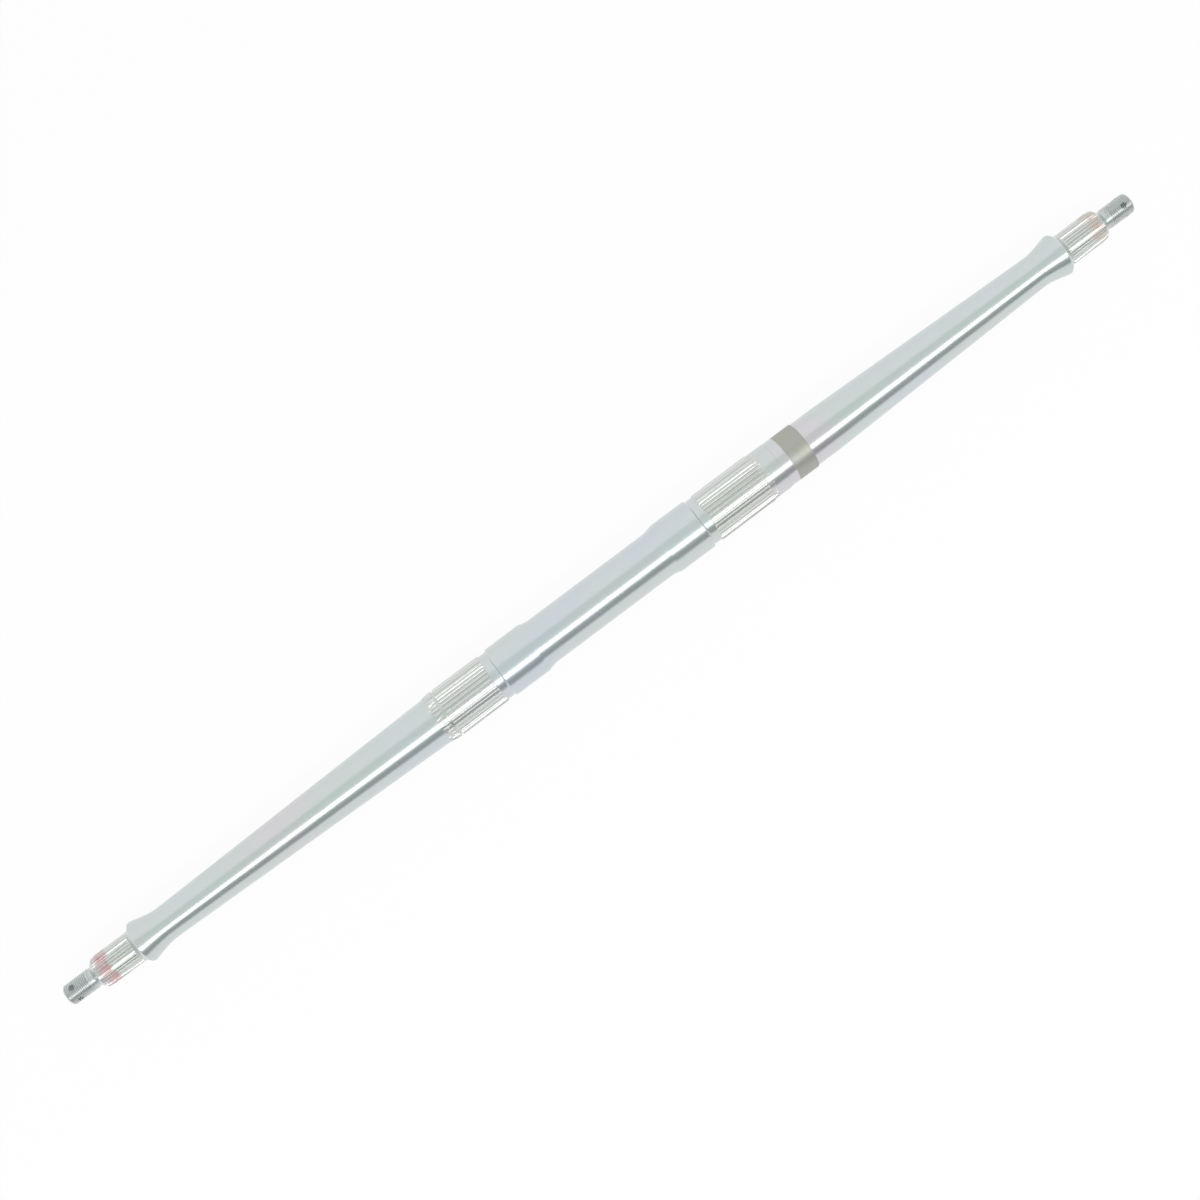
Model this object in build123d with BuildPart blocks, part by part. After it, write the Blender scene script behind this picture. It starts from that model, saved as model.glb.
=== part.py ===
"""Splined rear axle shaft of a small off-road vehicle, made as one steel piece.

The shaft lies along X, with its origin on the axis at mid-length, and +X runs towards the
journal with the bare band. From each end towards the middle it has a threaded stub crossed by
two split-pin holes, a wheel spline that ends at a tapered collar, a slim neck and a long
taper. Two bearing lands stand either side of the centre barrel, each with a hub spline on
its outer side.
"""

import os
from math import cos, radians, sin, tan

from build123d import *

os.makedirs("parts", exist_ok=True)

# ---------------------------------------------------------------------------
# Driving dimensions, in millimetres and degrees
# ---------------------------------------------------------------------------

OVERALL_LENGTH = 953.0

# Threaded stub, the same at both ends
THREAD_DIAMETER = 16.0
THREAD_CHAMFER = 1.3
STUB_LENGTH = 23.7
THREAD_RELIEF_DIAMETER = 15.4
THREAD_RELIEF_LENGTH = 3.0

# Split-pin holes: two cross at right angles in each stub
PIN_HOLE_DIAMETER = 4.5
PIN_HOLE_FROM_END = 7.0
LEFT_PIN_HOLE_TURN = 30.0
RIGHT_PIN_HOLE_TURN = 0.0

# Lathe centre in each end face
CENTRE_MOUTH_DIAMETER = 4.4
CENTRE_PILOT_DIAMETER = 1.6
CENTRE_PILOT_LENGTH = 1.2
CENTRE_ANGLE = 60.0

# Wheel spline and the tapered collar that it ends at
STUB_CONE_ANGLE = 45.0
WHEEL_SPLINE_DIAMETER = 25.0
WHEEL_SPLINE_LENGTH = 32.1
WHEEL_TOOTH_COUNT = 34
WHEEL_TOOTH_DEPTH = 0.75
WHEEL_ROOT_WIDTH = 0.6
WHEEL_LEAD_DIAMETER = 23.9
WHEEL_LEAD_LENGTH = 4.5
WHEEL_END_STEP = 0.1
COLLAR_DIAMETER = 33.5
COLLAR_SEAT_ANGLE = 45.0
COLLAR_CROWN_HEIGHT = 0.4
COLLAR_CROWN_LENGTH = 3.4

# Neck and the flare that leads from the collar down to it
NECK_DIAMETER = 25.8
FLARE_LENGTH = 18.0
FLARE_KNEE = 5.5
LEFT_NECK_LENGTH = 7.5
RIGHT_NECK_LENGTH = 2.0

# Left taper, the short steeper cone at its thick end and the cone that bevels the teeth above it
LEFT_TAPER_DIAMETER = 36.64
LEFT_BLEND_LENGTH = 3.0
TOOTH_BEVEL_ANGLE = 10.5
TOOTH_BEVEL_BELOW_ROOT = 0.1

# Right taper, the plain shank inboard of it and the two journals
SHANK_DIAMETER = 36.0
SHANK_LENGTH = 21.6
OUTER_JOURNAL_DIAMETER = 37.2
OUTER_JOURNAL_LENGTH = 24.8
OUTER_JOURNAL_CHAMFER = 0.4
INNER_JOURNAL_DIAMETER = 38.0
INNER_JOURNAL_LENGTH = 14.9
INNER_JOURNAL_CHAMFER = 0.3

# Hub splines
HUB_SPLINE_DIAMETER = 39.2
HUB_TOOTH_COUNT = 38
HUB_TOOTH_DEPTH = 0.9
HUB_ROOT_WIDTH = 0.9
HUB_RUNOUT_ANGLE = 3.5
LEFT_HUB_LENGTH = 45.2
RIGHT_HUB_LENGTH = 48.4
FLANK_ANGLE = 30.0

# Circlip groove near the outer end of the left hub spline
CIRCLIP_GROOVE_DIAMETER = 36.8
CIRCLIP_GROOVE_WIDTH = 1.9
CIRCLIP_GROOVE_FROM_BEVEL = 3.8

# Bearing lands, the reliefs outside them and the barrel between them
LAND_DIAMETER = 40.0
LAND_LENGTH = 30.0
LAND_CHAMFER = 0.8
LAND_TRANSITION_RADIUS = 25.0
LEFT_LAND_TO_MIDDLE = 62.9
RIGHT_LAND_TO_MIDDLE = 56.0
BARREL_DIAMETER = 36.5
RELIEF_DIAMETER = 37.3
RELIEF_LENGTH = 6.5
RELIEF_CORNER_ANGLE = 30.0

# Room that a tooth cutter takes beyond the metal that it cuts
CUTTER_CLEARANCE = 0.5
CUTTER_OVERRUN = 2.5

# ---------------------------------------------------------------------------
# Stations along the shaft and radii, worked out from the sizes above
# ---------------------------------------------------------------------------

def arc_run(radius, rise):
    """Length along the shaft in which an arc that leaves it smoothly rises this far."""
    return (2 * radius * rise - rise**2) ** 0.5


def cone_run(rise, angle):
    """Length along the shaft in which a cone at this angle to the axis rises this far."""
    return rise / tan(radians(angle))


thread_radius = THREAD_DIAMETER / 2
thread_relief_radius = THREAD_RELIEF_DIAMETER / 2
wheel_lead_radius = WHEEL_LEAD_DIAMETER / 2
wheel_radius = WHEEL_SPLINE_DIAMETER / 2
wheel_root_radius = wheel_radius - WHEEL_TOOTH_DEPTH
collar_radius = COLLAR_DIAMETER / 2
crown_edge_radius = collar_radius - COLLAR_CROWN_HEIGHT
seat_foot_radius = wheel_radius + WHEEL_END_STEP
stub_cone_radius = wheel_root_radius - WHEEL_END_STEP
neck_radius = NECK_DIAMETER / 2
left_taper_radius = LEFT_TAPER_DIAMETER / 2
hub_radius = HUB_SPLINE_DIAMETER / 2
hub_root_radius = hub_radius - HUB_TOOTH_DEPTH
bevel_foot_radius = hub_root_radius - TOOTH_BEVEL_BELOW_ROOT
groove_radius = CIRCLIP_GROOVE_DIAMETER / 2
groove_mouth_radius = hub_radius + CUTTER_CLEARANCE
relief_radius = RELIEF_DIAMETER / 2
land_radius = LAND_DIAMETER / 2
land_edge_radius = land_radius - LAND_CHAMFER
barrel_radius = BARREL_DIAMETER / 2
inner_journal_radius = INNER_JOURNAL_DIAMETER / 2
outer_journal_radius = OUTER_JOURNAL_DIAMETER / 2
shank_radius = SHANK_DIAMETER / 2

end_face = OVERALL_LENGTH / 2
stub_shoulder = end_face - STUB_LENGTH
relief_start = stub_shoulder + THREAD_RELIEF_LENGTH
wheel_spline_outer = stub_shoulder - cone_run(stub_cone_radius - thread_relief_radius, STUB_CONE_ANGLE)
wheel_spline_inner = wheel_spline_outer - WHEEL_SPLINE_LENGTH
collar_outer = wheel_spline_inner - cone_run(crown_edge_radius - seat_foot_radius, COLLAR_SEAT_ANGLE)
collar_inner = collar_outer - COLLAR_CROWN_LENGTH
neck_outer = collar_inner - FLARE_LENGTH

# The crown is a cubic curve that rises to three quarters of its inner points' height, and it
# leaves the seat and meets the flare along their own slopes
crown_pull = COLLAR_CROWN_HEIGHT * 4 / 3
crown_pull_radius = crown_edge_radius + crown_pull
crown_pull_outer = collar_outer - cone_run(crown_pull, COLLAR_SEAT_ANGLE)
flare_slope = (crown_edge_radius - neck_radius) / (FLARE_LENGTH - FLARE_KNEE)
crown_pull_inner = collar_inner + crown_pull / flare_slope

left_land_inner = -LEFT_LAND_TO_MIDDLE
left_land_outer = left_land_inner - LAND_LENGTH
left_hub_inner = left_land_outer - RELIEF_LENGTH
left_hub_outer = left_hub_inner - LEFT_HUB_LENGTH
bevel_foot = left_hub_outer - cone_run(hub_radius - bevel_foot_radius, TOOTH_BEVEL_ANGLE)
left_taper_end = bevel_foot - LEFT_BLEND_LENGTH
groove_middle = left_hub_outer + CIRCLIP_GROOVE_FROM_BEVEL

right_land_inner = RIGHT_LAND_TO_MIDDLE
right_land_outer = right_land_inner + LAND_LENGTH
right_hub_inner = right_land_outer + RELIEF_LENGTH
right_hub_outer = right_hub_inner + RIGHT_HUB_LENGTH
inner_journal_end = right_hub_outer + INNER_JOURNAL_LENGTH
outer_journal_end = inner_journal_end + OUTER_JOURNAL_LENGTH
right_taper_start = outer_journal_end + SHANK_LENGTH

transition_run = arc_run(LAND_TRANSITION_RADIUS, land_radius - barrel_radius)
relief_corner_run = cone_run(land_edge_radius - relief_radius, RELIEF_CORNER_ANGLE)
barrel_left = left_land_inner + transition_run
barrel_right = right_land_inner - transition_run


# ---------------------------------------------------------------------------
# Tooth cutters
# ---------------------------------------------------------------------------

def tooth_space(root_radius, depth, root_width, straight_length, runout_angle):
    """One space between two teeth, running along +Z from Z = 0 on the +X side.

    The cutter leaves the metal on a ramp at runout_angle to the axis, or goes straight out
    of an open end where that angle is 0.
    """
    height = depth + CUTTER_CLEARANCE
    mouth_width = root_width + 2 * height * tan(radians(FLANK_ANGLE))
    route = [(root_radius, 0), (root_radius, straight_length)]
    if runout_angle:
        route.append((root_radius + height, straight_length + cone_run(height, runout_angle)))
    with BuildPart() as space:
        with BuildLine(Plane.XZ) as path:
            Polyline(*route)
        with BuildSketch(Plane.XY):
            with BuildLine():
                Polyline(
                    (root_radius, -root_width / 2),
                    (root_radius + height, -mouth_width / 2),
                    (root_radius + height, mouth_width / 2),
                    (root_radius, root_width / 2),
                    close=True,
                )
            make_face()
        sweep(path=path.wire(), transition=Transition.RIGHT)
    return space.part


wheel_space = tooth_space(
    wheel_root_radius,
    WHEEL_TOOTH_DEPTH,
    WHEEL_ROOT_WIDTH,
    CUTTER_OVERRUN + WHEEL_SPLINE_LENGTH,
    0,
)
left_hub_space = tooth_space(
    hub_root_radius,
    HUB_TOOTH_DEPTH,
    HUB_ROOT_WIDTH,
    CUTTER_OVERRUN + left_hub_inner - left_taper_end,
    0,
)
right_hub_space = tooth_space(
    hub_root_radius,
    HUB_TOOTH_DEPTH,
    HUB_ROOT_WIDTH,
    CUTTER_OVERRUN + RIGHT_HUB_LENGTH,
    HUB_RUNOUT_ANGLE,
)


# ---------------------------------------------------------------------------
# The shaft
# ---------------------------------------------------------------------------

with BuildPart() as axle_shaft:
    # Half profile above the axis, from the left end to the right, turned about X
    with BuildSketch(Plane.XZ) as half_profile:
        with BuildLine():
            left_end = Polyline(
                (-end_face, 0),
                (-end_face, thread_radius - THREAD_CHAMFER),
                (-end_face + THREAD_CHAMFER, thread_radius),
                (-relief_start, thread_radius),
                (-relief_start, thread_relief_radius),
                (-stub_shoulder, thread_relief_radius),
                (-wheel_spline_outer, stub_cone_radius),
                (-wheel_spline_outer, wheel_lead_radius),
                (-wheel_spline_outer + WHEEL_LEAD_LENGTH, wheel_radius),
                (-wheel_spline_inner, wheel_radius),
                (-wheel_spline_inner, seat_foot_radius),
                (-collar_outer, crown_edge_radius),
            )
            Bezier(
                (-collar_outer, crown_edge_radius),
                (-crown_pull_outer, crown_pull_radius),
                (-crown_pull_inner, crown_pull_radius),
                (-collar_inner, crown_edge_radius),
            )
            Bezier(
                (-collar_inner, crown_edge_radius),
                (-neck_outer - FLARE_KNEE, neck_radius),
                (-neck_outer, neck_radius),
            )
            left_taper_base = -neck_outer + LEFT_NECK_LENGTH
            Line((-neck_outer, neck_radius), (left_taper_base, neck_radius))
            Polyline(
                (left_taper_base, neck_radius),
                (left_taper_end, left_taper_radius),
                (bevel_foot, bevel_foot_radius),
                (left_hub_outer, hub_radius),
                (left_hub_inner, hub_radius),
                (left_hub_inner, relief_radius),
                (left_land_outer - relief_corner_run, relief_radius),
                (left_land_outer, land_edge_radius),
                (left_land_outer + LAND_CHAMFER, land_radius),
                (left_land_inner, land_radius),
            )
            TangentArc((barrel_left, barrel_radius), (left_land_inner, land_radius), tangent=(-1, 0))
            Line((barrel_left, barrel_radius), (barrel_right, barrel_radius))
            TangentArc((barrel_right, barrel_radius), (right_land_inner, land_radius), tangent=(1, 0))
            Polyline(
                (right_land_inner, land_radius),
                (right_land_outer - LAND_CHAMFER, land_radius),
                (right_land_outer, land_edge_radius),
                (right_land_outer + relief_corner_run, relief_radius),
                (right_hub_inner, relief_radius),
                (right_hub_inner, hub_radius),
                (right_hub_outer, hub_radius),
                (right_hub_outer, inner_journal_radius),
                (inner_journal_end - INNER_JOURNAL_CHAMFER, inner_journal_radius),
                (inner_journal_end, outer_journal_radius),
                (outer_journal_end - OUTER_JOURNAL_CHAMFER, outer_journal_radius),
                (outer_journal_end, shank_radius),
                (right_taper_start, shank_radius),
                (neck_outer - RIGHT_NECK_LENGTH, neck_radius),
                (neck_outer, neck_radius),
            )
            Bezier(
                (neck_outer, neck_radius),
                (neck_outer + FLARE_KNEE, neck_radius),
                (collar_inner, crown_edge_radius),
            )
            Bezier(
                (collar_inner, crown_edge_radius),
                (crown_pull_inner, crown_pull_radius),
                (crown_pull_outer, crown_pull_radius),
                (collar_outer, crown_edge_radius),
            )
            Polyline(
                (collar_outer, crown_edge_radius),
                (wheel_spline_inner, seat_foot_radius),
                (wheel_spline_inner, wheel_radius),
                (wheel_spline_outer - WHEEL_LEAD_LENGTH, wheel_radius),
                (wheel_spline_outer, wheel_lead_radius),
                (wheel_spline_outer, stub_cone_radius),
                (stub_shoulder, thread_relief_radius),
                (relief_start, thread_relief_radius),
                (relief_start, thread_radius),
                (end_face - THREAD_CHAMFER, thread_radius),
                (end_face, thread_radius - THREAD_CHAMFER),
                (end_face, 0),
                (-end_face, 0),
            )
        make_face()
    revolve(axis=Axis.X)

    # Circlip groove
    with BuildSketch(Plane.XZ):
        with Locations((groove_middle, groove_radius)):
            Rectangle(CIRCLIP_GROOVE_WIDTH, groove_mouth_radius - groove_radius, align=(Align.CENTER, Align.MIN))
    revolve(axis=Axis.X, mode=Mode.SUBTRACT)

    # Lathe centres: a cone and its pilot drilled into each end face
    mouth_radius = CENTRE_MOUTH_DIAMETER / 2
    pilot_radius = CENTRE_PILOT_DIAMETER / 2
    centre_cone_run = cone_run(mouth_radius - pilot_radius, CENTRE_ANGLE / 2)
    for side in (-1, 1):
        pilot_end = side * (end_face - centre_cone_run - CENTRE_PILOT_LENGTH)
        with BuildSketch(Plane.XZ):
            with BuildLine():
                Polyline(
                    (side * end_face, 0),
                    (side * end_face, mouth_radius),
                    (side * (end_face - centre_cone_run), pilot_radius),
                    (pilot_end, pilot_radius),
                    (pilot_end, 0),
                    close=True,
                )
            make_face()
        revolve(axis=Axis.X, mode=Mode.SUBTRACT)

    # Split-pin holes, two at right angles through each stub
    for side, turn in ((-1, LEFT_PIN_HOLE_TURN), (1, RIGHT_PIN_HOLE_TURN)):
        for quarter in (0, 90):
            angle = radians(turn + quarter)
            hole_plane = Plane(
                origin=(side * (end_face - PIN_HOLE_FROM_END), 0, 0),
                x_dir=(1, 0, 0),
                z_dir=(0, sin(angle), cos(angle)),
            )
            with Locations(hole_plane):
                Hole(PIN_HOLE_DIAMETER / 2)

    # Teeth: each space is cut all round the shaft, from the open end of its spline
    rightward = Plane(origin=(0, 0, 0), x_dir=(0, 0, 1), z_dir=(1, 0, 0))
    leftward = Plane(origin=(0, 0, 0), x_dir=(0, 0, 1), z_dir=(-1, 0, 0))
    wheel_cut_start = -wheel_spline_outer - CUTTER_OVERRUN
    with Locations(rightward.offset(wheel_cut_start), leftward.offset(wheel_cut_start)):
        with PolarLocations(0, WHEEL_TOOTH_COUNT):
            add(wheel_space, mode=Mode.SUBTRACT)
    with Locations(leftward.offset(-left_hub_inner - CUTTER_OVERRUN)):
        with PolarLocations(0, HUB_TOOTH_COUNT):
            add(left_hub_space, mode=Mode.SUBTRACT)
    with Locations(rightward.offset(right_hub_inner - CUTTER_OVERRUN)):
        with PolarLocations(0, HUB_TOOTH_COUNT):
            add(right_hub_space, mode=Mode.SUBTRACT)

axle_shaft.part.label = "axle_shaft"
export_step(axle_shaft.part, "parts/axle_shaft.step")
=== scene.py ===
"""Looks of the splined axle shaft: one plated steel piece, turned, splined, threaded and drilled.

Lengths are in millimetres until they enter a mesh. The shaft lies along X with its middle at
the origin, and +X runs towards the journal with the bare band.
"""
from math import acos, atan2, cos, pi, radians, sin, sqrt, tan

import bmesh
import bpy
from mathutils import Matrix, Vector


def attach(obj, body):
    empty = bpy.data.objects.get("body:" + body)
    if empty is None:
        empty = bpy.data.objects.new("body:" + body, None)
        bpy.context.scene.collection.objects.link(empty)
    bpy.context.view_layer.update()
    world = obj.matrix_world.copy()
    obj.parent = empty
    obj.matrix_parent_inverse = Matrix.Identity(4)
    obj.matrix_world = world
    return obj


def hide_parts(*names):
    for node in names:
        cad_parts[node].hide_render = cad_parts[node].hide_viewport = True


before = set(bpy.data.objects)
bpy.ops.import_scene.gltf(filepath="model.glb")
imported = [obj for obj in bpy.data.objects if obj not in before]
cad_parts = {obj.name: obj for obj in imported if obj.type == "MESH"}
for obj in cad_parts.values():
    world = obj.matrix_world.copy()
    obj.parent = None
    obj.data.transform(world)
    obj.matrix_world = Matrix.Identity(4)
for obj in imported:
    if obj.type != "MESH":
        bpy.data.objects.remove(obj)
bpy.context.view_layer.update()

MM = 0.001

# Stub, its thread, its split-pin holes and its lathe centre
HALF_LENGTH = 476.5
STUB_SHOULDER = 452.8
STUB_LENGTH = HALF_LENGTH - STUB_SHOULDER
STUB_JOIN_RADIUS = 8.0
THREAD_CREST_RADIUS = 8.0
THREAD_ROOT_RADIUS = 7.35
THREAD_ROOT_WIDTH = 0.3
THREAD_PITCH = 1.5
THREAD_ROWS_A_PITCH = 8
THREAD_COLUMNS = 96
THREAD_RELIEF_RADIUS = 7.7
THREAD_RELIEF_LENGTH = 3.0
THREAD_RUNOUT = 1.6
THREAD_CHAMFER = 1.3
PIN_HOLE_RADIUS = 2.25
PIN_HOLE_STATION = HALF_LENGTH - 7.0
PIN_HOLE_LIP = 0.25
PIN_HOLE_TURNS = {-1: 30.0, 1: 0.0}
CENTRE_MOUTH_RADIUS = 2.2
CENTRE_PILOT_RADIUS = 0.8
CENTRE_PILOT_LENGTH = 1.2

# Wheel spline, collar, flare and neck, the same on both arms but for the neck's length
WHEEL_RADIUS = 12.5
WHEEL_TEETH = 34
WHEEL_DEPTH = 0.75
WHEEL_ROOT_WIDTH = 0.66
WHEEL_LEAD_RADIUS = 11.95
WHEEL_LEAD_LENGTH = 4.5
WHEEL_OUTER = 448.85
WHEEL_INNER = 416.75
WHEEL_RUNOUT_RADIUS = 3.0
SEAT_JOIN = 415.2
COLLAR_RADIUS = 16.75
CROWN_HEIGHT = 0.4
CROWN_LENGTH = 3.4
NECK_RADIUS = 12.9
FLARE_LENGTH = 18.0
FLARE_KNEE = 5.5
NECK_LENGTHS = {-1: 7.5, 1: 2.0}

# Hub splines and what lies between the arms
HUB_RADIUS = 19.6
HUB_TEETH = 38
HUB_DEPTH = 0.9
HUB_ROOT_WIDTH = 0.93
HUB_END_CHAMFER = 0.8
HUB_RUNOUT_RADIUS = 40.0
FLANK_ANGLE = 30.0
LEFT_TAPER_END = -153.0
LEFT_TAPER_RADIUS = 18.32
BEVEL_FOOT = -150.0
BEVEL_FOOT_RADIUS = 18.6
BEVEL_BENDS = ((-149.4, 18.71), (-147.0, 19.155))
LEFT_HUB_OUTER = -144.6
LEFT_HUB_INNER = -99.4
GROOVE_MIDDLE = -140.8
GROOVE_WIDTH = 1.9
GROOVE_RADIUS = 18.4
GROOVE_CHAMFER = 0.3
RELIEF_RADIUS = 18.65
LAND_RADIUS = 20.0
LAND_CHAMFER = 0.8
RELIEF_CORNER = 1.2
LAND_TRANSITION = 25.0
BARREL_RADIUS = 18.25
LEFT_LAND = (-92.9, -62.9)
RIGHT_LAND = (56.0, 86.0)
LAND_MIDDLES = (-78.0, 71.0)
RIGHT_HUB_INNER = 92.5
RIGHT_HUB_OUTER = 140.9
INNER_JOURNAL_RADIUS = 19.0
INNER_JOURNAL_END = 155.8
OUTER_JOURNAL_RADIUS = 18.6
OUTER_JOURNAL_END = 180.6
BARE_BAND_START = 163.4
SHANK_RADIUS = 18.0
TAPER_START = 202.2

COLUMNS_A_TOOTH = 14
PLAIN_COLUMNS = 168
NO_FLOOR = 1000.0
MERGE_DISTANCE = 0.002
SHARP_ANGLE = 24.0


# ---------------------------------------------------------------------------
# Node trees written as expressions
# ---------------------------------------------------------------------------

class Wire:
    """A socket that arithmetic can be done on; each operation adds its Math node."""

    def __init__(self, tree, socket):
        self.tree = tree
        self.socket = socket

    def math(self, operation, *others):
        return self.tree.math(operation, self, *others)

    def __add__(self, other):
        return self.math("ADD", other)

    def __radd__(self, other):
        return self.tree.math("ADD", other, self)

    def __sub__(self, other):
        return self.math("SUBTRACT", other)

    def __rsub__(self, other):
        return self.tree.math("SUBTRACT", other, self)

    def __mul__(self, other):
        return self.math("MULTIPLY", other)

    def __rmul__(self, other):
        return self.tree.math("MULTIPLY", other, self)

    def __truediv__(self, other):
        return self.math("DIVIDE", other)

    def least(self, other):
        return self.math("MINIMUM", other)

    def most(self, other):
        return self.math("MAXIMUM", other)

    def size(self):
        return self.math("ABSOLUTE")

    def held(self):
        """The value kept between 0 and 1."""
        return self.least(1.0).most(0.0)


class Tree:
    """One node tree and the methods that fill it."""

    def __init__(self, nodes):
        self.nodes = nodes

    def make(self, kind, settings=None, values=None, out=0):
        """Adds any node: its settings first, then the values or links of its sockets."""
        node = self.nodes.nodes.new(kind)
        for name, setting in (settings or {}).items():
            if name == "stops":
                ramp = node.color_ramp
                while len(ramp.elements) < len(setting):
                    ramp.elements.new(0.5)
                for element, (place, colour) in zip(ramp.elements, setting):
                    element.position = place
                    element.color = (*colour, 1.0)
            else:
                setattr(node, name, setting)
        for key, value in (values or {}).items():
            if isinstance(value, Wire):
                self.nodes.links.new(value.socket, node.inputs[key])
            else:
                node.inputs[key].default_value = value
        if out is None:
            return node
        return Wire(self, node.outputs[out])

    def math(self, operation, *terms):
        return self.make("ShaderNodeMath", {"operation": operation}, dict(enumerate(terms)))

    def mix(self, factor, first, second, blend="MIX"):
        """Mixes two colours; a plain colour is given as three numbers."""
        colours = [c if isinstance(c, Wire) else (*c, 1.0) for c in (first, second)]
        settings = {"data_type": "RGBA", "blend_type": blend}
        return self.make("ShaderNodeMix", settings, {0: factor, 6: colours[0], 7: colours[1]}, out=2)

    def noise(self, vector, scale, detail=2.0, rough=0.5):
        values = {"Vector": vector, "Scale": scale, "Detail": detail, "Roughness": rough}
        return self.make("ShaderNodeTexNoise", None, values)

    def stretched(self, vector, scales):
        values = {"Vector": vector, "Scale": scales}
        return self.make("ShaderNodeMapping", {"vector_type": "POINT"}, values)

    def within(self, value, low, high, soft):
        """1 between low and high, fading to 0 over soft on either side."""
        return ((value - low) / soft + 0.5).held() * ((high - value) / soft + 0.5).held()


def geometry_tree(name, sizes):
    """A Geometry Nodes tree with a geometry in and out and one named input for each size."""
    group = bpy.data.node_groups.new(name, "GeometryNodeTree")
    group.interface.new_socket("Geometry", in_out="INPUT", socket_type="NodeSocketGeometry")
    group.interface.new_socket("Geometry", in_out="OUTPUT", socket_type="NodeSocketGeometry")
    for size, kind in sizes.items():
        group.interface.new_socket(size, in_out="INPUT", socket_type=kind)
    tree = Tree(group)
    entry = tree.make("NodeGroupInput", out=None)
    inlets = {socket.name: Wire(tree, socket) for socket in entry.outputs if socket.name}
    return tree, inlets


def close_tree(tree, geometry, material):
    """Merges the seam, points the material out and ends the tree."""
    merged = tree.make("GeometryNodeMergeByDistance", None, {"Geometry": geometry, "Distance": MERGE_DISTANCE * MM})
    real = tree.make("GeometryNodeRealizeInstances", None, {"Geometry": merged})
    painted = tree.make("GeometryNodeSetMaterial", None, {"Geometry": real, "Material": material})
    tree.make("NodeGroupOutput", None, {"Geometry": painted}, out=None)


def grown(tree, mesh, sizes):
    """The plain mesh that a tree makes from a starting mesh and its named sizes."""
    seed = bpy.data.objects.new("seed", mesh)
    bpy.context.scene.collection.objects.link(seed)
    modifier = seed.modifiers.new("shape", "NODES")
    modifier.node_group = tree.nodes
    for item in tree.nodes.interface.items_tree:
        if item.in_out == "INPUT" and item.name in sizes:
            modifier[item.identifier] = sizes[item.name]
    graph = bpy.context.evaluated_depsgraph_get()
    made = bpy.data.meshes.new_from_object(seed.evaluated_get(graph))
    seed.modifiers.remove(modifier)
    bpy.data.objects.remove(seed)
    return made


# ---------------------------------------------------------------------------
# Shapes that both trees share
# ---------------------------------------------------------------------------

def grid_angle(tree, columns, row_count):
    """A grid mesh with its row and column numbers and each column's angle round the axis."""
    across = columns + 1
    grid = tree.make("GeometryNodeMeshGrid", None, {"Vertices X": row_count, "Vertices Y": across})
    index = tree.make("GeometryNodeInputIndex")
    row = ((index + 0.5) / across).math("FLOOR")
    column = index - row * across
    return grid, row, column, column / columns * (2 * pi)


def placed(tree, grid, x, y, z):
    """The grid with its points moved to x, y and z."""
    place = tree.make("ShaderNodeCombineXYZ", None, {"X": x, "Y": y, "Z": z})
    return tree.make("GeometryNodeSetPosition", None, {"Geometry": grid, "Position": place})


def turned_tree():
    """A turned length: a profile line swept round X, with tooth spaces cut into it."""
    tree, inlets = geometry_tree(
        "turned_and_splined",
        {
            "Columns": "NodeSocketInt",
            "Teeth": "NodeSocketInt",
            "Root width": "NodeSocketFloat",
            "Material": "NodeSocketMaterial",
        },
    )
    line = inlets["Geometry"]
    count = tree.make("GeometryNodeAttributeDomainSize", {"component": "MESH"}, {"Geometry": line})
    grid, row, _, angle = grid_angle(tree, inlets["Columns"], count)
    position = tree.make("GeometryNodeInputPosition")
    point = tree.make(
        "GeometryNodeSampleIndex",
        {"data_type": "FLOAT_VECTOR", "domain": "POINT"},
        {"Geometry": line, "Value": position, "Index": row},
    )
    floor_name = tree.make("GeometryNodeInputNamedAttribute", {"data_type": "FLOAT"}, {"Name": "floor"})
    floor = tree.make(
        "GeometryNodeSampleIndex",
        {"data_type": "FLOAT", "domain": "POINT"},
        {"Geometry": line, "Value": floor_name, "Index": row},
    )
    parts = tree.make("ShaderNodeSeparateXYZ", None, {"Vector": point}, out=None)
    x = Wire(tree, parts.outputs["X"])
    radius = Wire(tree, parts.outputs["Y"])
    turn = angle * inlets["Teeth"] / (2 * pi)
    from_middle = ((turn + 0.001).math("FRACT") - 0.501).size() * floor * (2 * pi) / inlets["Teeth"]
    flank = (from_middle - inlets["Root width"] / 2).most(0.0) / tan(radians(FLANK_ANGLE))
    cut = radius.least(floor + flank)
    shaped = placed(tree, grid, x, cut * angle.math("SINE"), cut * angle.math("COSINE"))
    close_tree(tree, shaped, inlets["Material"])
    return tree


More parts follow.
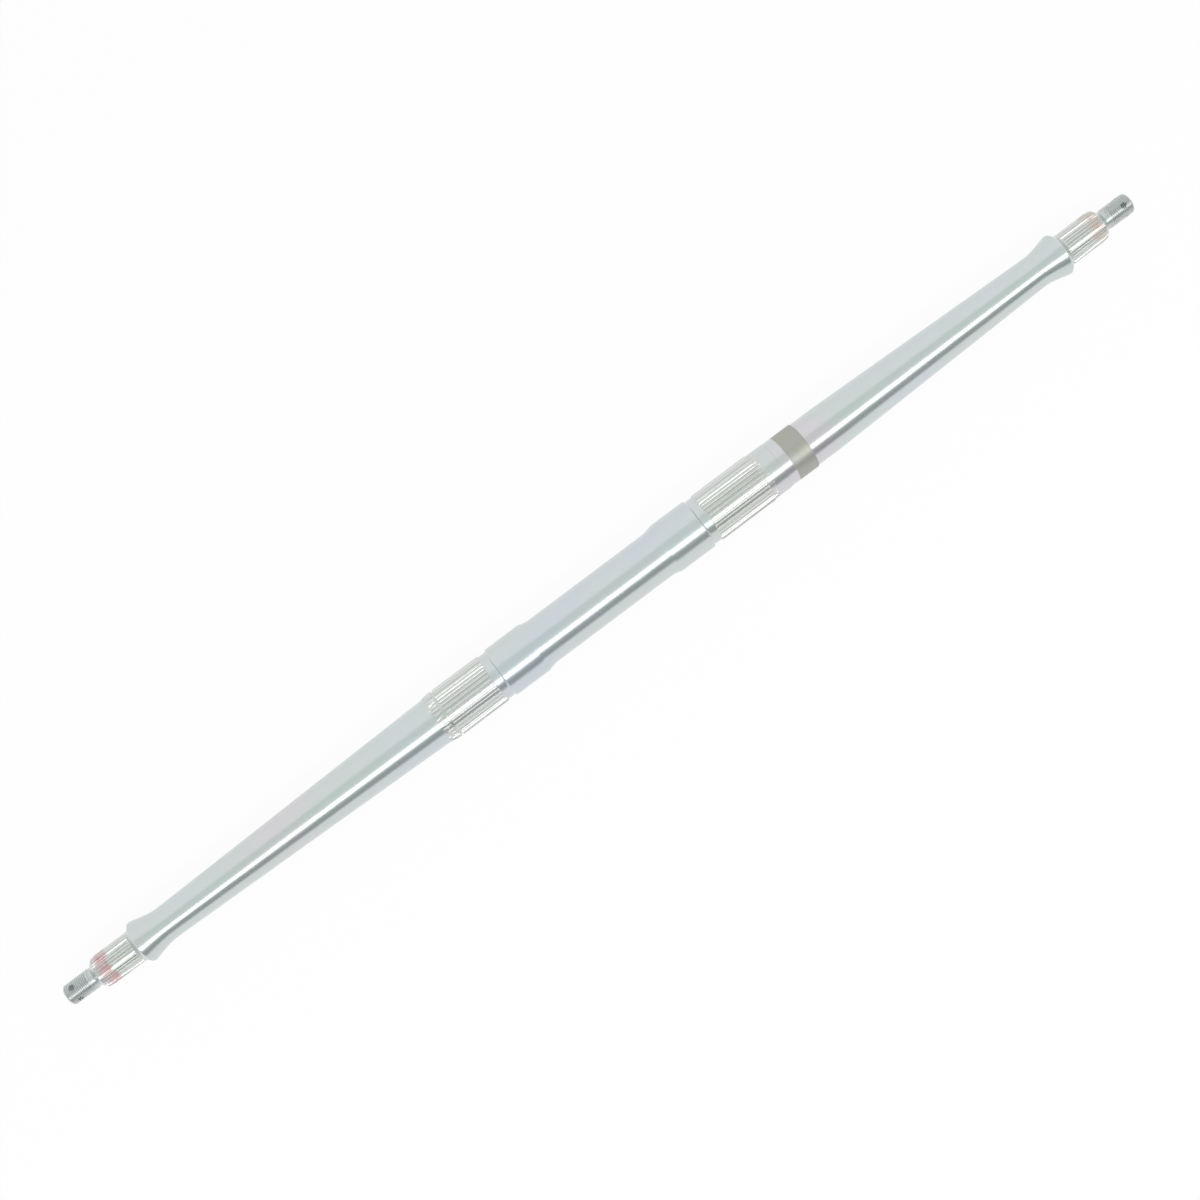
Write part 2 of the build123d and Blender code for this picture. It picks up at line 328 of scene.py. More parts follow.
def thread_tree():
    """A threaded stub: rows that follow the helix, flattened against the stub's two ends."""
    sizes = ("Length", "Pitch", "Crest", "Root", "Root width", "Relief", "Relief length", "Runout")
    kinds = {size: "NodeSocketFloat" for size in sizes}
    kinds.update({"Columns": "NodeSocketInt", "Rows": "NodeSocketInt", "Rows a pitch": "NodeSocketInt"})
    kinds.update({"Chamfer": "NodeSocketFloat", "Start": "NodeSocketFloat", "Side": "NodeSocketFloat"})
    kinds["Material"] = "NodeSocketMaterial"
    tree, inlets = geometry_tree("threaded_stub", kinds)
    grid, row, column, angle = grid_angle(tree, inlets["Columns"], inlets["Rows"])
    turn = column / inlets["Columns"]
    along = (row / inlets["Rows a pitch"] + turn - 1.0) * inlets["Pitch"]
    reach = along.most(0.0).least(inlets["Length"])
    groove = (row / inlets["Rows a pitch"] + 0.0005).math("FRACT") - 0.5005
    from_root = (groove.size() * inlets["Pitch"] - inlets["Root width"] / 2).most(0.0)
    rise = (inlets["Relief length"] + inlets["Runout"] - reach).most(0.0) * 0.7
    thread = inlets["Root"] + from_root * tan(radians(60)) + rise
    chamfer = inlets["Crest"] - (inlets["Chamfer"] - (inlets["Length"] - reach)).most(0.0)
    in_relief = reach.math("LESS_THAN", inlets["Relief length"])
    plain = chamfer - in_relief * (inlets["Crest"] - inlets["Relief"])
    radius = plain.least(thread)
    x = inlets["Side"] * (inlets["Start"] + reach)
    y = inlets["Side"] * radius * angle.math("SINE")
    shaped = placed(tree, grid, x, y, radius * angle.math("COSINE"))
    close_tree(tree, shaped, inlets["Material"])
    return tree


# ---------------------------------------------------------------------------
# Profiles: lists of (station, radius, floor of the tooth spaces there)
# ---------------------------------------------------------------------------

def plain(*points):
    """Stations without teeth."""
    return [(x, radius, NO_FLOOR) for x, radius in points]


def curve(controls, count, skip_first=True):
    """Plain stations along a Bezier curve."""
    stations = []
    for step in range(1 if skip_first else 0, count + 1):
        share = step / count
        points = [Vector(p) for p in controls]
        while len(points) > 1:
            points = [a.lerp(b, share) for a, b in zip(points, points[1:])]
        stations.append((points[0].x, points[0].y, NO_FLOOR))
    return stations


def swing(centre_x, centre_radius, size, start, stop, count):
    """Plain stations on an arc, between two angles in degrees that are measured from +X."""
    turns = [radians(start + (stop - start) * step / count) for step in range(count + 1)]
    return plain(*[(centre_x + size * cos(t), centre_radius + size * sin(t)) for t in turns])


def mirrored(stations):
    """The same stations on the other arm, in order along +X."""
    return [(-x, radius, floor) for x, radius, floor in reversed(stations)]


def wheel_spline():
    """The right wheel spline, from the collar's seat out to the stub."""
    root = WHEEL_RADIUS - WHEEL_DEPTH
    runout_start = WHEEL_INNER + 1.7
    stations = [(SEAT_JOIN, WHEEL_RADIUS + WHEEL_INNER - SEAT_JOIN, NO_FLOOR)]
    for x in (WHEEL_INNER - 1.0, WHEEL_INNER - 0.5, WHEEL_INNER, WHEEL_INNER + 0.45, WHEEL_INNER + 0.9):
        depth = min(runout_start - x, WHEEL_RUNOUT_RADIUS * 0.98)
        floor = root + WHEEL_RUNOUT_RADIUS - sqrt(WHEEL_RUNOUT_RADIUS**2 - depth**2)
        stations.append((x, WHEEL_RADIUS + max(0.0, WHEEL_INNER - x), floor))
    lead_start = WHEEL_OUTER - WHEEL_LEAD_LENGTH
    stations += [(runout_start, WHEEL_RADIUS, root), (lead_start, WHEEL_RADIUS, root)]
    for drop in (0.0, 0.1, 0.2, 0.35):
        radius = WHEEL_LEAD_RADIUS - drop
        stations.append((WHEEL_OUTER - 0.3 + drop, radius, root))
    stations.append((STUB_SHOULDER - 0.3, STUB_JOIN_RADIUS, NO_FLOOR))
    return stations


def arm(side, thick_end):
    """The plain arm from its thick end's stations out to the collar's seat, on the right side."""
    seat_radius = COLLAR_RADIUS - CROWN_HEIGHT
    collar_outer = WHEEL_INNER - (seat_radius - WHEEL_RADIUS)
    collar_inner = collar_outer - CROWN_LENGTH
    neck_outer = collar_inner - FLARE_LENGTH
    pull = CROWN_HEIGHT * 4 / 3
    slope = (seat_radius - NECK_RADIUS) / (FLARE_LENGTH - FLARE_KNEE)
    flare = [
        (neck_outer, NECK_RADIUS, 0),
        (neck_outer + FLARE_KNEE, NECK_RADIUS, 0),
        (collar_inner, seat_radius, 0),
    ]
    crown = [
        (collar_inner, seat_radius, 0),
        (collar_inner + pull / slope, seat_radius + pull, 0),
        (collar_outer - pull, seat_radius + pull, 0),
        (collar_outer, seat_radius, 0),
    ]
    taper_x, taper_radius, _ = thick_end[-1]
    neck_inner = neck_outer - NECK_LENGTHS[side]
    steps = [share / 6 for share in range(1, 7)]
    taper = [
        (taper_x + (neck_inner - taper_x) * s, taper_radius + (NECK_RADIUS - taper_radius) * s)
        for s in steps
    ]
    seat_end = (SEAT_JOIN - 0.9, WHEEL_RADIUS + WHEEL_INNER - SEAT_JOIN + 0.9)
    stations = thick_end + plain(*taper) + plain((neck_outer, NECK_RADIUS))
    return stations + curve(flare, 12) + curve(crown, 8) + plain(seat_end)


def left_hub():
    """The left hub spline, from the foot of the bevel on its teeth to the relief."""
    root = HUB_RADIUS - HUB_DEPTH
    left = GROOVE_MIDDLE - GROOVE_WIDTH / 2
    right = GROOVE_MIDDLE + GROOVE_WIDTH / 2
    edge = HUB_RADIUS - GROOVE_CHAMFER
    chamfer_radius = HUB_RADIUS - HUB_END_CHAMFER
    toothed = [
        (BEVEL_FOOT, BEVEL_FOOT_RADIUS),
        *BEVEL_BENDS,
        (LEFT_HUB_OUTER, HUB_RADIUS),
        (left - GROOVE_CHAMFER, HUB_RADIUS),
        (left, edge),
        (left, root),
        (left, GROOVE_RADIUS),
        (right, GROOVE_RADIUS),
        (right, root),
        (right, edge),
        (right + GROOVE_CHAMFER, HUB_RADIUS),
        (LEFT_HUB_INNER - HUB_END_CHAMFER, HUB_RADIUS),
        (LEFT_HUB_INNER - HUB_END_CHAMFER / 2, (HUB_RADIUS + chamfer_radius) / 2),
        (LEFT_HUB_INNER, chamfer_radius),
        (LEFT_HUB_INNER, RELIEF_RADIUS),
    ]
    stations = [(x, radius, root) for x, radius in toothed]
    return stations + plain((LEFT_HUB_INNER + 0.8, RELIEF_RADIUS))


def right_hub():
    """The right hub spline, whose spaces fade out on the inner journal."""
    root = HUB_RADIUS - HUB_DEPTH
    chamfer_radius = HUB_RADIUS - HUB_END_CHAMFER
    stations = plain((RIGHT_HUB_INNER - 0.8, RELIEF_RADIUS))
    for x, radius in (
        (RIGHT_HUB_INNER, RELIEF_RADIUS),
        (RIGHT_HUB_INNER, chamfer_radius),
        (RIGHT_HUB_INNER + HUB_END_CHAMFER / 2, (HUB_RADIUS + chamfer_radius) / 2),
        (RIGHT_HUB_INNER + HUB_END_CHAMFER, HUB_RADIUS),
        (RIGHT_HUB_OUTER - HUB_END_CHAMFER, HUB_RADIUS),
        (RIGHT_HUB_OUTER, INNER_JOURNAL_RADIUS),
    ):
        stations.append((x, radius, root))
    for step in range(1, 8):
        run = step * 0.8
        floor = root + HUB_RUNOUT_RADIUS - sqrt(HUB_RUNOUT_RADIUS**2 - run**2)
        stations.append((RIGHT_HUB_OUTER + run, INNER_JOURNAL_RADIUS, floor))
    return stations


def middle():
    """Both bearing lands, the barrel between them and the reliefs outside them."""
    run = sqrt(2 * LAND_TRANSITION * (LAND_RADIUS - BARREL_RADIUS) - (LAND_RADIUS - BARREL_RADIUS) ** 2)
    rise = LAND_RADIUS - LAND_CHAMFER - RELIEF_RADIUS
    corner_turn = acos(1 - rise / RELIEF_CORNER) * 180 / pi
    corner_run = RELIEF_CORNER * sin(radians(corner_turn))
    turn = acos(1 - (LAND_RADIUS - BARREL_RADIUS) / LAND_TRANSITION) * 180 / pi
    centre = BARREL_RADIUS + LAND_TRANSITION
    stations = plain((LEFT_HUB_INNER + 1.8, RELIEF_RADIUS))
    stations += swing(
        LEFT_LAND[0] - corner_run, RELIEF_RADIUS + RELIEF_CORNER, RELIEF_CORNER, -90, corner_turn - 90, 4
    )
    stations += plain((LEFT_LAND[0] + LAND_CHAMFER, LAND_RADIUS), (LAND_MIDDLES[0], LAND_RADIUS))
    stations += swing(LEFT_LAND[1] + run, centre, LAND_TRANSITION, -90 - turn, -90, 7)
    stations += plain((0.0, BARREL_RADIUS))
    stations += swing(RIGHT_LAND[0] - run, centre, LAND_TRANSITION, -90, -90 + turn, 7)
    stations += plain((LAND_MIDDLES[1], LAND_RADIUS), (RIGHT_LAND[1] - LAND_CHAMFER, LAND_RADIUS))
    stations += swing(
        RIGHT_LAND[1] + corner_run, RELIEF_RADIUS + RELIEF_CORNER, RELIEF_CORNER, -90 - corner_turn, -90, 4
    )
    return stations + plain((RIGHT_HUB_INNER - 1.8, RELIEF_RADIUS))


RIGHT_THICK_END = plain(
    (RIGHT_HUB_OUTER + 7.0, INNER_JOURNAL_RADIUS),
    (INNER_JOURNAL_END - 0.3, INNER_JOURNAL_RADIUS),
    (INNER_JOURNAL_END, OUTER_JOURNAL_RADIUS),
    (OUTER_JOURNAL_END - 0.4, OUTER_JOURNAL_RADIUS),
    (OUTER_JOURNAL_END, OUTER_JOURNAL_RADIUS - 0.4),
    (OUTER_JOURNAL_END, SHANK_RADIUS),
    (TAPER_START, SHANK_RADIUS),
)
LEFT_THICK_END = plain((-BEVEL_FOOT + 0.8, BEVEL_FOOT_RADIUS - 0.07), (-LEFT_TAPER_END, LEFT_TAPER_RADIUS))


# ---------------------------------------------------------------------------
# Joining the lengths into one closed mesh
# ---------------------------------------------------------------------------

def section(tree, stations, columns, material, teeth=0, root_width=0.0):
    """One turned length as a plain mesh."""
    line = bpy.data.meshes.new("profile")
    points = [(x * MM, radius * MM, 0.0) for x, radius, floor in stations]
    line.from_pydata(points, [(i, i + 1) for i in range(len(points) - 1)], [])
    floors = line.attributes.new("floor", "FLOAT", "POINT")
    floors.data.foreach_set("value", [floor * MM for x, radius, floor in stations])
    sizes = {"Columns": columns, "Teeth": teeth, "Root width": root_width * MM, "Material": material}
    return grown(tree, line, sizes)


def stub(tree, side, material):
    """One threaded stub as a plain mesh; side is -1 or 1."""
    rows = int((STUB_LENGTH / THREAD_PITCH + 1) * THREAD_ROWS_A_PITCH) + 3
    sizes = {
        "Length": STUB_LENGTH * MM,
        "Pitch": THREAD_PITCH * MM,
        "Crest": THREAD_CREST_RADIUS * MM,
        "Root": THREAD_ROOT_RADIUS * MM,
        "Root width": THREAD_ROOT_WIDTH * MM,
        "Relief": THREAD_RELIEF_RADIUS * MM,
        "Relief length": THREAD_RELIEF_LENGTH * MM,
        "Runout": THREAD_RUNOUT * MM,
        "Chamfer": THREAD_CHAMFER * MM,
        "Start": STUB_SHOULDER * MM,
        "Side": float(side),
        "Columns": THREAD_COLUMNS,
        "Rows": rows,
        "Rows a pitch": THREAD_ROWS_A_PITCH,
        "Material": material,
    }
    return grown(tree, bpy.data.meshes.new("empty"), sizes)


def around(vertex):
    """Angle of a vertex round the axis."""
    return atan2(vertex.co.z, vertex.co.y)


def zip_rings(mesh, first, second):
    """Fills the strip between two rings that may have different numbers of vertices."""
    first = sorted(first, key=around)
    second = sorted(second, key=around)
    i = j = 0
    while i < len(first) or j < len(second):
        next_first = around(first[i % len(first)]) + 2 * pi * (i // len(first))
        next_second = around(second[j % len(second)]) + 2 * pi * (j // len(second))
        a = first[(i - 1) % len(first)]
        b = second[(j - 1) % len(second)]
        take_first = j >= len(second) or (i < len(first) and next_first <= next_second)
        if take_first:
            mesh.faces.new((a, first[i % len(first)], b))
            i += 1
        else:
            mesh.faces.new((a, second[j % len(second)], b))
            j += 1


def ring(mesh, x, radius, count):
    """A new ring of vertices round the axis."""
    turns = [2 * pi * (step + 0.5) / count for step in range(count)]
    return [mesh.verts.new((x * MM, radius * cos(t) * MM, radius * sin(t) * MM)) for t in turns]


def close_end(mesh, edge, side):
    """The end face and its lathe centre."""
    cone = (CENTRE_MOUTH_RADIUS - CENTRE_PILOT_RADIUS) / tan(radians(30))
    depths = (
        (0.0, CENTRE_MOUTH_RADIUS + 0.15),
        (0.15, CENTRE_MOUTH_RADIUS),
        (cone, CENTRE_PILOT_RADIUS),
        (cone + CENTRE_PILOT_LENGTH, CENTRE_PILOT_RADIUS),
    )
    last = edge
    for depth, radius in depths:
        inner = ring(mesh, side * (HALF_LENGTH - depth), radius, 48)
        zip_rings(mesh, last, inner)
        last = inner
    tip = mesh.verts.new((side * (HALF_LENGTH - cone - CENTRE_PILOT_LENGTH - 0.4) * MM, 0, 0))
    for a, b in zip(last, last[1:] + last[:1]):
        mesh.faces.new((a, b, tip))


def joined(meshes):
    """All lengths zipped into one closed mesh."""
    whole = bmesh.new()
    for mesh in meshes:
        whole.from_mesh(mesh)
    whole.edges.ensure_lookup_table()
    rings = {}
    for vertex in {v for edge in whole.edges if edge.is_boundary for v in edge.verts}:
        rings.setdefault(round(vertex.co.x / MM, 2), []).append(vertex)
    order = [rings[x] for x in sorted(rings)]
    close_end(whole, order[0], -1)
    close_end(whole, order[-1], 1)
    for first, second in zip(order[1:-1:2], order[2:-1:2]):
        zip_rings(whole, first, second)
    bmesh.ops.recalc_face_normals(whole, faces=whole.faces)
    result = bpy.data.meshes.new("axle_shaft_body")
    whole.to_mesh(result)
    whole.free()
    return result


def pin_hole_cutter(side, turn):
    """A round cutter across the stub, flared where it leaves the metal so the hole has broken edges."""
    mesh = bmesh.new()
    lip = THREAD_CREST_RADIUS - PIN_HOLE_LIP * 2
    stops = (
        (-THREAD_CREST_RADIUS - 1, PIN_HOLE_RADIUS + PIN_HOLE_LIP * 4),
        (-lip, PIN_HOLE_RADIUS),
        (lip, PIN_HOLE_RADIUS),
        (THREAD_CREST_RADIUS + 1, PIN_HOLE_RADIUS + PIN_HOLE_LIP * 4),
    )
    rings = [ring(mesh, x, radius, 40) for x, radius in stops]
    for first, second in zip(rings, rings[1:]):
        zip_rings(mesh, first, second)
    for end in (rings[0], rings[-1]):
        mesh.faces.new(end)
    bmesh.ops.recalc_face_normals(mesh, faces=mesh.faces)
    outward = Vector((0, sin(radians(turn)), cos(radians(turn))))
    aside = Vector((1, 0, 0)).cross(outward)
    place = Matrix((outward, (1, 0, 0), aside)).transposed().to_4x4()
    place.translation = (side * PIN_HOLE_STATION * MM, 0, 0)
    mesh.transform(place)
    bmesh.ops.recalc_face_normals(mesh, faces=mesh.faces)
    data = bpy.data.meshes.new("pin_hole")
    mesh.to_mesh(data)
    mesh.free()
    cutter = bpy.data.objects.new("pin_hole", data)
    bpy.context.scene.collection.objects.link(cutter)
    return cutter


def drilled(mesh, material):
    """The shaft with its four split-pin holes, as a finished object."""
    shaft = bpy.data.objects.new("splined_shaft", mesh)
    bpy.context.scene.collection.objects.link(shaft)
    cutters = []
    for side, turn in PIN_HOLE_TURNS.items():
        for quarter in (0, 90):
            cutter = pin_hole_cutter(side, turn + quarter)
            cut = shaft.modifiers.new("pin_hole", "BOOLEAN")
            cut.operation = "DIFFERENCE"
            cut.solver = "MANIFOLD"
            cut.object = cutter
            cutters.append(cutter)
    graph = bpy.context.evaluated_depsgraph_get()
    result = bpy.data.meshes.new_from_object(shaft.evaluated_get(graph))
    shaft.modifiers.clear()
    for cutter in cutters:
        bpy.data.objects.remove(cutter)
    result.materials.clear()
    result.materials.append(material)
    result.polygons.foreach_set("material_index", [0] * len(result.polygons))
    result.polygons.foreach_set("use_smooth", [True] * len(result.polygons))
    result.set_sharp_from_angle(angle=radians(SHARP_ANGLE))
    shaft.data = result
    return shaft


# ---------------------------------------------------------------------------
# Finishes
# ---------------------------------------------------------------------------

ZINC = (0.620, 0.666, 0.678)
ZINC_BLUE = (0.590, 0.648, 0.700)
ZINC_GREEN = (0.600, 0.665, 0.645)
ZINC_PINK = (0.660, 0.635, 0.665)
SPLINE_WARM = (0.800, 0.790, 0.755)
# Duller stub grey, also used for painted shade in the thread roots
THREAD_GREY_AND_ROOT_SHADE = (0.530, 0.540, 0.520)
BARE_STEEL = (0.400, 0.412, 0.380)
BARE_YELLOW = (0.425, 0.420, 0.350)
PAINT_ROSE = (0.560, 0.160, 0.190)
PAINT_ORANGE = (0.620, 0.300, 0.210)
# Painted shade for the spline tooth roots
ROOT_PAINTED_SHADE = (0.450, 0.450, 0.435)
LEFT_PAINT = (436.5, 445.5)
RIGHT_PAINT = (438.5, 448.0)


def zinc_plated_steel():
    """Bright zinc plate over machined steel, with a bare journal band, two faint paint marks and painted shade in
    the spline and thread roots.
    """
    material = bpy.data.materials.new("zinc_plated_steel")
    material.use_nodes = True
    material.node_tree.nodes.clear()
    tree = Tree(material.node_tree)
    place = tree.make("ShaderNodeTexCoord", out="Object")
    axes = tree.make("ShaderNodeSeparateXYZ", None, {"Vector": place}, out=None)
    x, y, z = (Wire(tree, axes.outputs[name]) / MM for name in "XYZ")
    radius = (y * y + z * z).math("SQRT")
    reach = x.size()

    # Slow drift of tint along the shaft, and clouds in the plating
    drift = tree.noise(tree.stretched(place, (9.0, 16.0, 16.0)), 1.0, 2.0)
    tint = tree.make(
        "ShaderNodeValToRGB",
        {"stops": [(0.30, ZINC_BLUE), (0.44, ZINC), (0.56, ZINC_GREEN), (0.70, ZINC_PINK)]},
        {"Fac": drift},
    )
    clouds = tree.noise(tree.stretched(place, (60.0, 110.0, 110.0)), 1.0, 4.0, 0.6)
    colour = tree.mix((clouds - 0.35).held() * 0.45, tint, ZINC_BLUE)

    # Splines: bright on the lands, with painted shade darkening the tooth roots
    on_wheel = tree.within(reach, WHEEL_INNER, WHEEL_OUTER, 0.8) * (radius / 11.6).math("FLOOR").least(1.0)
    on_left_hub = tree.within(x, BEVEL_FOOT + 2.2, LEFT_HUB_INNER, 1.6)
    on_right_hub = tree.within(x, RIGHT_HUB_INNER, RIGHT_HUB_OUTER + 4.0, 0.6)
    on_hub = on_left_hub.most(on_right_hub)
    on_spline = on_hub.most(on_wheel)
    colour = tree.mix(on_spline * 0.55, colour, SPLINE_WARM)
    # Painted shade in the spline tooth roots: darker with depth below the tooth tips, mottled by noise
    wheel_depth = ((WHEEL_RADIUS - radius) / WHEEL_DEPTH).held() * on_wheel
    hub_depth = ((HUB_RADIUS - 0.1 - radius) / HUB_DEPTH).held() * on_hub
    root_shade_mottle = tree.noise(place, 240.0, 3.0)
    colour = tree.mix(wheel_depth.most(hub_depth) * (root_shade_mottle * 0.4 + 0.15), colour, ROOT_PAINTED_SHADE)

    # Threads and the stubs are a duller grey, with painted shade deepening towards the thread roots
    on_stub = tree.within(reach, STUB_SHOULDER + 0.4, HALF_LENGTH + 5.0, 1.0)
    thread_root_shade = ((THREAD_CREST_RADIUS - radius) * 1.1).held()
    colour = tree.mix(on_stub * (thread_root_shade * 0.3 + 0.4), colour, THREAD_GREY_AND_ROOT_SHADE)

    # The bare band, with a ragged inner edge
    ragged = (tree.noise(place, 130.0, 4.0) - 0.5) * 3.0
    on_band = tree.within(x + ragged * 0.6, BARE_BAND_START, OUTER_JOURNAL_END + 6.0, 0.8)
    on_band = on_band * x.math("LESS_THAN", OUTER_JOURNAL_END + 0.05)
    stain = tree.noise(tree.stretched(place, (70.0, 110.0, 110.0)), 1.0, 4.0, 0.6)
    bare = tree.mix(((stain - 0.42) * 5.0).held(), BARE_STEEL, BARE_YELLOW)
    colour = tree.mix(on_band * 0.9, colour, bare)

    # Hand-dabbed paint round both wheel splines
    dab = tree.noise(tree.stretched(place, (120.0, 210.0, 210.0)), 1.0, 3.0, 0.6)
    left_paint = tree.within(0.0 - x + (dab - 0.5) * 9.0, *LEFT_PAINT, 2.5)
    right_paint = tree.within(x + (dab - 0.5) * 9.0, *RIGHT_PAINT, 3.0)
    left_strength = left_paint * ((dab - 0.25) * 2.2).held() * 0.62
    right_strength = right_paint * ((dab - 0.25) * 2.0).held() * 0.42
    colour = tree.mix(left_strength, colour, PAINT_ROSE)
    colour = tree.mix(right_strength, colour, PAINT_ORANGE)
    paint = left_strength.most(right_strength)

    # Roughness: polished lands, duller band and threads, wiped streaks along the shaft
    streaks = tree.noise(tree.stretched(place, (14.0, 900.0, 900.0)), 1.0, 2.0)
    turning = tree.noise(tree.stretched(place, (3200.0, 6.0, 6.0)), 1.0, 1.0)
    rough = clouds * 0.10 + streaks * 0.05 + turning * 0.06 + 0.12
    rough = rough + on_band * 0.22 + on_stub * 0.10 + paint * 0.25
    scratches = tree.noise(tree.stretched(place, (260.0, 2600.0, 2600.0)), 1.0, 2.0)
    relief = turning * 0.7 + scratches * 0.3 + clouds * 0.4
    bump = tree.make("ShaderNodeBump", None, {"Height": relief, "Strength": 0.10, "Distance": 0.00012})
    values = {
        "Base Color": colour,
        "Metallic": 1.0 - paint * 0.8,
        "Roughness": rough.held(),
        "Normal": bump,
    }
    surface = tree.make("ShaderNodeBsdfPrincipled", None, values)
    tree.make("ShaderNodeOutputMaterial", None, {"Surface": surface}, out=None)
    return material


def pale_where_seen(tree, strength):
    """1 for rays from the camera and from shiny or clear surfaces, times the strength."""
    path = tree.make("ShaderNodeLightPath", out=None)
    kinds = ("Is Camera Ray", "Is Glossy Ray", "Is Transmission Ray")
    rays = [Wire(tree, path.outputs[kind]) for kind in kinds]
    return rays[0].most(rays[1]).most(rays[2]) * strength


def floor_finish():
    """A matt floor that keeps its shadow and is nearly white where it is seen."""
    material = bpy.data.materials.new("pale_floor")
    material.use_nodes = True
    material.node_tree.nodes.clear()
    tree = Tree(material.node_tree)
    matt = tree.make("ShaderNodeBsdfDiffuse", None, {"Color": (0.9, 0.9, 0.9, 1.0)})
    glow = tree.make("ShaderNodeEmission", None, {"Color": (1.0, 1.0, 1.0, 1.0), "Strength": 1.0})
    blend = tree.make("ShaderNodeMixShader", None, {0: pale_where_seen(tree, FLOOR_PALENESS), 1: matt, 2: glow})
    tree.make("ShaderNodeOutputMaterial", None, {"Surface": blend}, out=None)
    return material


def card_finish(name, colour):
    """An evenly pale or dark studio card."""
    material = bpy.data.materials.new(name)
    material.use_nodes = True
    material.node_tree.nodes.clear()
    tree = Tree(material.node_tree)
    glow = tree.make("ShaderNodeEmission", None, {"Color": (*colour, 1.0), "Strength": 1.0})
    tree.make("ShaderNodeOutputMaterial", None, {"Surface": glow}, out=None)
    return material


# ---------------------------------------------------------------------------
# Studio: floor, cards, strip light, room light and camera
# ---------------------------------------------------------------------------

FLOOR_HEIGHT = -0.0201
FLOOR_PALENESS = 0.94
ROOM_STRENGTH = 0.8
STRIP_ANGLES = (18.0, 38.0)
STRIP_RADIANCE = 2.6
DARK_CARD_ANGLES = (40.5, 72.0)
ROOF_CARD_ANGLES = (-26.0, 17.5)
DARK_CARD_COLOUR = (0.40, 0.42, 0.42)
ROOF_CARD_COLOUR = (0.80, 0.84, 0.81)
STUDIO_DISTANCE = 1.5
STUDIO_LENGTH = 4.0
CAMERA_DISTANCE = 1.224
CAMERA_LENS = 51.0
CAMERA_TILT = -0.0255
AIM = (-0.00385, 0.0, 0.0)
AIM_ASIDE = 0.0003
AIM_UP = -0.00118
PICTURE_RIGHT = Vector((0.8, -0.6, 0.0))
PICTURE_UP = Vector((0.6, 0.8, 0.0))


def stage_sheet(name, corners, material):
    mesh = bpy.data.meshes.new(name)
    mesh.from_pydata(corners, [], [(0, 1, 2, 3)])
    mesh.materials.append(material)
    sheet = bpy.data.objects.new(name, mesh)
    bpy.context.scene.collection.objects.link(sheet)
    return sheet


def overhead(angle, distance):
    """The Y and Z of a place over the shaft, at an angle from straight up towards -Y."""
    return -distance * sin(radians(angle)), distance * cos(radians(angle))


def card(name, angles, distance, material):
    """A long card over the shaft between two angles, kept out of the camera's own view."""
    half = STUDIO_LENGTH / 2
    near, far = (overhead(angle, distance) for angle in angles)
    corners = [(-half, *near), (half, *near), (half, *far), (-half, *far)]
    sheet = stage_sheet(name, corners, material)
    sheet.visible_camera = False
    sheet.visible_diffuse = False
    sheet.visible_shadow = False
    return sheet


def strip_light():
    middle = sum(STRIP_ANGLES) / 2
    width = 2 * STUDIO_DISTANCE * tan(radians((STRIP_ANGLES[1] - STRIP_ANGLES[0]) / 2))
    lamp = bpy.data.lights.new("strip_light", "AREA")
    lamp.shape = "RECTANGLE"
    lamp.size = STUDIO_LENGTH
    lamp.size_y = width
    lamp.energy = STRIP_RADIANCE * pi * STUDIO_LENGTH * width
    light = bpy.data.objects.new("strip_light", lamp)
    light.location = (0.0, *overhead(middle, STUDIO_DISTANCE))
    light.rotation_euler = (-radians(middle), 0.0, 0.0)
    light.visible_camera = False
    bpy.context.scene.collection.objects.link(light)


def room_light():
    world = bpy.data.worlds.new("room")
    bpy.context.scene.world = world
    world.use_nodes = True
    world.node_tree.nodes.clear()
    tree = Tree(world.node_tree)
    strength = pale_where_seen(tree, 1.0 - ROOM_STRENGTH) + ROOM_STRENGTH
    light = tree.make("ShaderNodeBackground", None, {"Color": (1.0, 1.0, 1.0, 1.0), "Strength": strength})
    tree.make("ShaderNodeOutputWorld", None, {"Surface": light}, out=None)


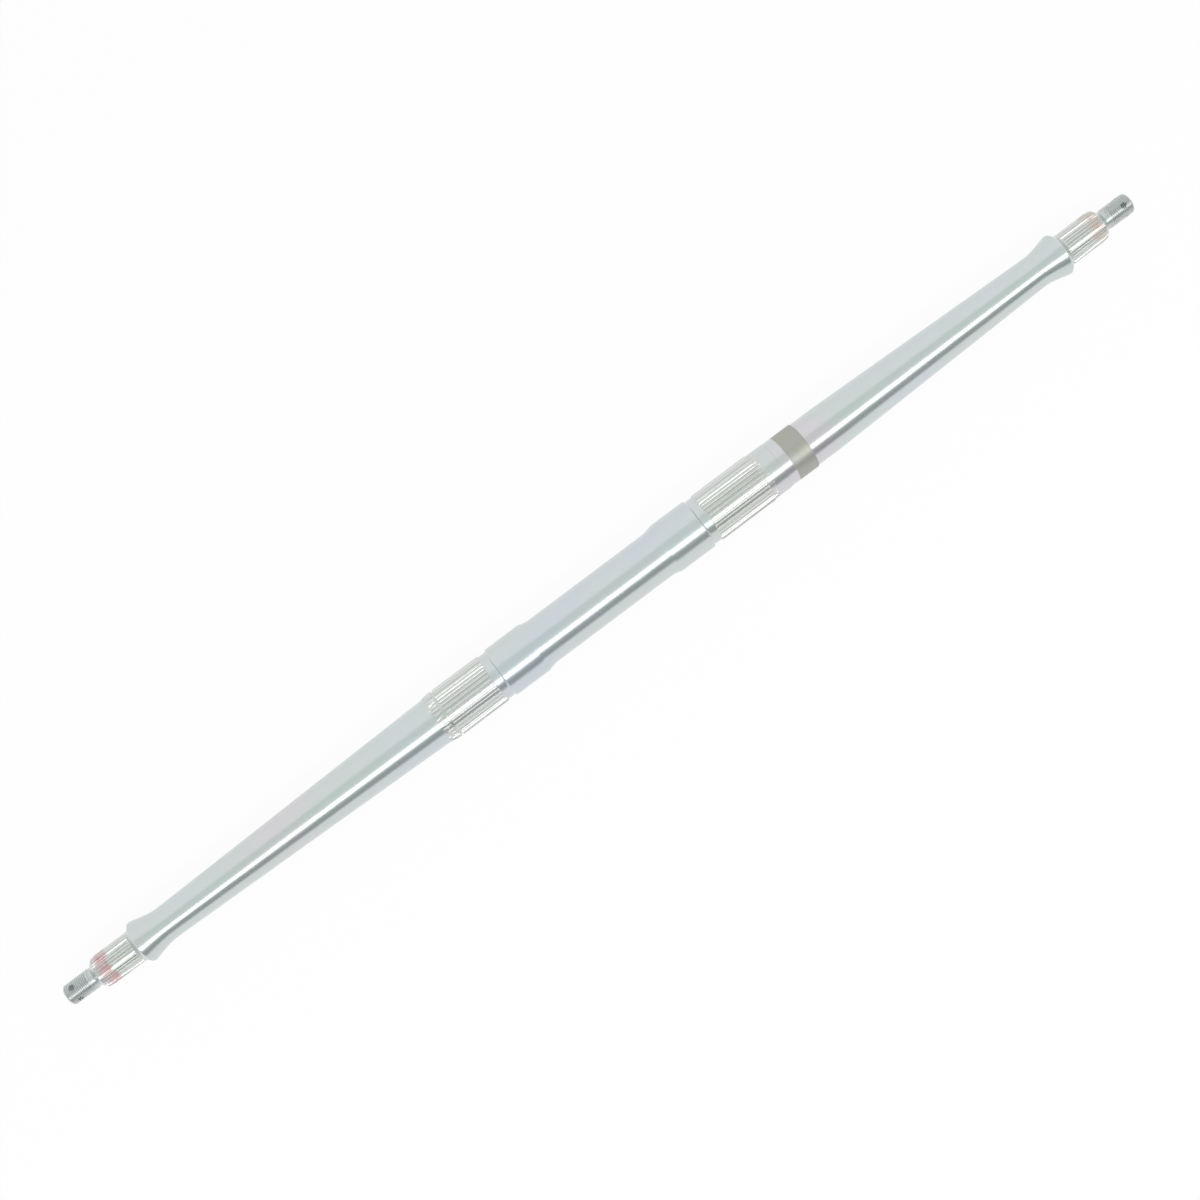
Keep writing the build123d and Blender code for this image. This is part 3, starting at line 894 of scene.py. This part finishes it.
def camera():
    aim = Vector(AIM) + PICTURE_RIGHT * AIM_ASIDE + PICTURE_UP * AIM_UP
    back = Vector((CAMERA_TILT, 0.0, 1.0)).normalized()
    right = PICTURE_UP.cross(back).normalized()
    up = back.cross(right)
    data = bpy.data.cameras.new("camera")
    data.lens = CAMERA_LENS
    data.sensor_width = 36.0
    data.clip_start = 0.01
    eye = bpy.data.objects.new("camera", data)
    eye.matrix_world = Matrix.Translation(aim + back * CAMERA_DISTANCE) @ Matrix(
        (right, up, back)
    ).transposed().to_4x4()
    bpy.context.scene.collection.objects.link(eye)
    bpy.context.scene.camera = eye


# ---------------------------------------------------------------------------
# The finished piece
# ---------------------------------------------------------------------------

def build_shaft():
    material = zinc_plated_steel()
    turned = turned_tree()
    threaded = thread_tree()
    wheel = wheel_spline()
    wheel_columns = WHEEL_TEETH * COLUMNS_A_TOOTH
    hub_columns = HUB_TEETH * COLUMNS_A_TOOTH
    lengths = [
        stub(threaded, -1, material),
        section(turned, mirrored(wheel), wheel_columns, material, WHEEL_TEETH, WHEEL_ROOT_WIDTH),
        section(turned, mirrored(arm(-1, LEFT_THICK_END)), PLAIN_COLUMNS, material),
        section(turned, left_hub(), hub_columns, material, HUB_TEETH, HUB_ROOT_WIDTH),
        section(turned, middle(), PLAIN_COLUMNS, material),
        section(turned, right_hub(), hub_columns, material, HUB_TEETH, HUB_ROOT_WIDTH),
        section(turned, arm(1, RIGHT_THICK_END), PLAIN_COLUMNS, material),
        section(turned, wheel, wheel_columns, material, WHEEL_TEETH, WHEEL_ROOT_WIDTH),
        stub(threaded, 1, material),
    ]
    shaft = drilled(joined(lengths), material)
    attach(shaft, "root")
    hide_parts("axle_shaft")


bpy.context.scene.view_settings.view_transform = "Standard"
build_shaft()
stage_sheet("floor", [(x, y, FLOOR_HEIGHT) for x, y in ((-4, -4), (4, -4), (4, 4), (-4, 4))], floor_finish())
card("dark_card", DARK_CARD_ANGLES, STUDIO_DISTANCE, card_finish("dark_card", DARK_CARD_COLOUR))
card("roof_card", ROOF_CARD_ANGLES, STUDIO_DISTANCE, card_finish("roof_card", ROOF_CARD_COLOUR))
strip_light()
room_light()
camera()
